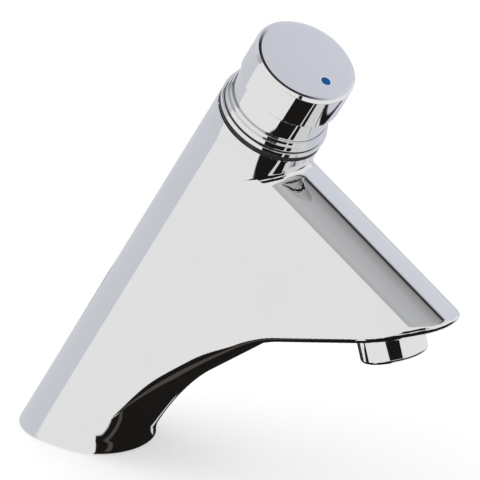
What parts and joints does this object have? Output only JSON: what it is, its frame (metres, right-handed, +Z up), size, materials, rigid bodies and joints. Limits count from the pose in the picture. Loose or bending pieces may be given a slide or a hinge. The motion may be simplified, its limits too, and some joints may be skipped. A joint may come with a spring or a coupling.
{
  "type": "push timed tap",
  "caption": "Self-closing pillar tap with a leaning chromed column, an arched spout with an aerator, and a sprung push button on top that slides down the column's axis.",
  "frame": {"origin": "centre of the foot, on the plane of the deck that the tap stands on", "axes": "+Z up from the deck, +X towards the spout, +Y to the left of someone who looks along +X"},
  "size_m": [0.1937, 0.04, 0.227],
  "materials": {
    "chrome": "polished chrome plate on brass",
    "cold_mark": "glossy blue inlay",
    "brass": "machined brass",
    "steel": "stainless steel",
    "rubber": "black rubber",
    "grey_plastic": "moulded acetal",
    "white_plastic": "moulded acetal"
  },
  "bodies": {
    "tap": {"body": "chrome", "collar_ring": "chrome", "guide_sleeve": "chrome", "cartridge_head": "brass", "head_gasket": "rubber", "stem_o_ring": "rubber", "metering_screw": "steel", "cartridge_housing": "grey_plastic", "cartridge_o_rings": "rubber", "return_spring": "steel", "stem_guide": "white_plastic", "valve_seat": "brass", "seat_gasket": "rubber", "aerator_housing": "chrome", "aerator_gasket": "rubber", "aerator_insert": "white_plastic", "aerator_screen": "grey_plastic", "inlet_shank": "brass", "shank_o_ring": "rubber", "flow_limiter": "white_plastic", "inlet_strainer": "steel", "base_gasket": "rubber", "deck_washer": "rubber", "clamp_washer": "steel", "back_nut": "brass"},
    "plunger": {"push_button": "chrome", "indicator_dot": "cold_mark", "stem_lock_nut": "brass", "stem": "steel", "timing_piston": "white_plastic", "piston_lip_seal": "rubber", "valve_disc": "rubber", "disc_holder": "brass", "disc_nut": "brass"}
  },
  "joints": [
    {"name": "button_press", "type": "slide", "parent": "tap", "child": "plunger", "axis": [-0.5225, 0, -0.8526], "range_m": [0, 0.007], "stiffness_N_per_m": 800, "springref_m": -0.012, "deforming": ["return_spring"]}
  ]
}
